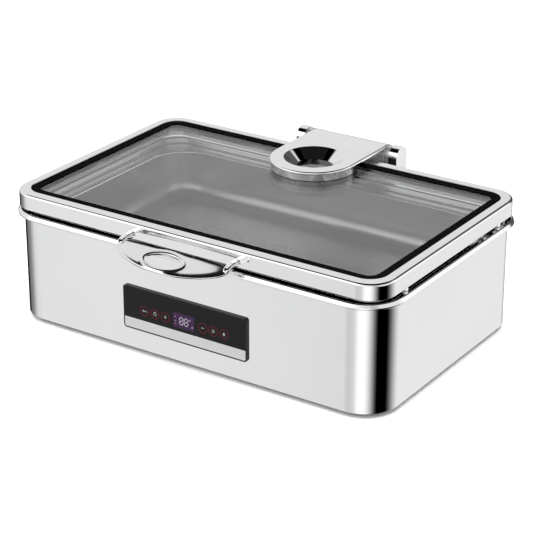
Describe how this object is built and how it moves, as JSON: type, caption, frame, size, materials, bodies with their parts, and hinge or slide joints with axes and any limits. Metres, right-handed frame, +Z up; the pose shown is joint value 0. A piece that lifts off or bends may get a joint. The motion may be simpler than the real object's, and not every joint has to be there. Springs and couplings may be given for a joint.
{
  "type": "electric buffet server",
  "caption": "Rectangular electric food warmer with a mirror steel body, a hinged glass lid, a front touch panel and a lift-out gastronorm pan.",
  "frame": {"origin": "on the table under the feet, at the centre of the object's footprint box", "axes": "+Z up, -Y towards the user (handle and control panel), +Y towards the hinge, +X to the user's right"},
  "size_m": [0.5806, 0.4684, 0.193],
  "materials": {
    "mirror_steel": "mirror-polished stainless steel",
    "satin_steel": "satin stainless steel, fine lengthwise grain",
    "cast_chrome": "polished and plated die casting",
    "plain_steel": "plain bright steel",
    "galvanised_steel": "zinc-coated sheet",
    "heater_aluminium": "rolled aluminium",
    "black_rubber": "black silicone rubber, semi-matt",
    "clear_silicone": "translucent silicone",
    "tempered_glass": "clear tempered glass",
    "black_glass": "back-printed black touch panel",
    "brushed_strip": "silver-brushed strip",
    "black_plastic": "moulded, fine texture",
    "circuit_board": "green solder resist",
    "blue_plastic": "moulded component bodies",
    "ceramic_white": "glazed steatite",
    "brass_contact": "plain brass",
    "red_sleeve": "glass-fibre sleeve"
  },
  "bodies": {
    "base": {"outer_shell": "mirror_steel", "base_cover": "galvanised_steel", "foot_front_left": "black_rubber", "foot_front_right": "black_rubber", "foot_rear_left": "black_rubber", "foot_rear_right": "black_rubber", "foot_screw_front_left": "plain_steel", "foot_screw_front_right": "plain_steel", "foot_screw_rear_left": "plain_steel", "foot_screw_rear_right": "plain_steel", "water_pan": "mirror_steel", "hinge_bracket": "cast_chrome", "hinge_backing_plate": "galvanised_steel", "hinge_bolt_lower_left": "plain_steel", "hinge_bolt_upper_left": "plain_steel", "hinge_bolt_lower_right": "plain_steel", "hinge_bolt_upper_right": "plain_steel", "hinge_pin": "plain_steel", "hinge_spacer_left": "cast_chrome", "hinge_spacer_right": "cast_chrome", "panel_bezel": "black_plastic", "panel_glass": "black_glass", "panel_strip": "brushed_strip", "control_housing": "black_plastic", "control_board": "circuit_board", "display_module": "blue_plastic", "heater_plate": "heater_aluminium", "heating_element": "plain_steel", "heater_clamp_left": "galvanised_steel", "heater_clamp_right": "galvanised_steel", "thermal_cutout": "ceramic_white", "temperature_probe": "brass_contact", "power_board_tray": "black_plastic", "power_board": "circuit_board", "power_relay": "blue_plastic", "terminal_block": "ceramic_white", "heater_lead": "red_sleeve", "mains_inlet": "black_plastic", "inlet_pin_live": "brass_contact", "inlet_pin_neutral": "brass_contact", "inlet_pin_earth": "brass_contact", "lid_bumper_front_left": "clear_silicone", "lid_bumper_front_right": "clear_silicone", "lid_bumper_rear_left": "clear_silicone", "lid_bumper_rear_right": "clear_silicone"},
    "lid": {"lid_frame": "mirror_steel", "lid_gasket": "black_rubber", "lid_glass": "tempered_glass", "hinge_tongue": "cast_chrome", "hinge_damper_left": "black_plastic", "hinge_damper_right": "black_plastic", "glass_clamp_ring": "cast_chrome", "clamp_screw_1": "plain_steel", "clamp_screw_2": "plain_steel", "clamp_screw_3": "plain_steel", "clamp_screw_4": "plain_steel", "lid_handle": "cast_chrome", "handle_screw_left": "plain_steel", "handle_screw_right": "plain_steel"},
    "pan": {"food_pan": "satin_steel"}
  },
  "joints": [
    {"name": "lid_hinge", "type": "hinge", "parent": "base", "child": "lid", "pos_m": [0, 0.21968, 0.1785], "axis": [-1, 0, 0], "range_deg": [0, 95]},
    {"name": "food_pan_lift", "type": "slide", "parent": "base", "child": "pan", "axis": [0, 0, 1], "range_m": [0, 0.012]}
  ]
}
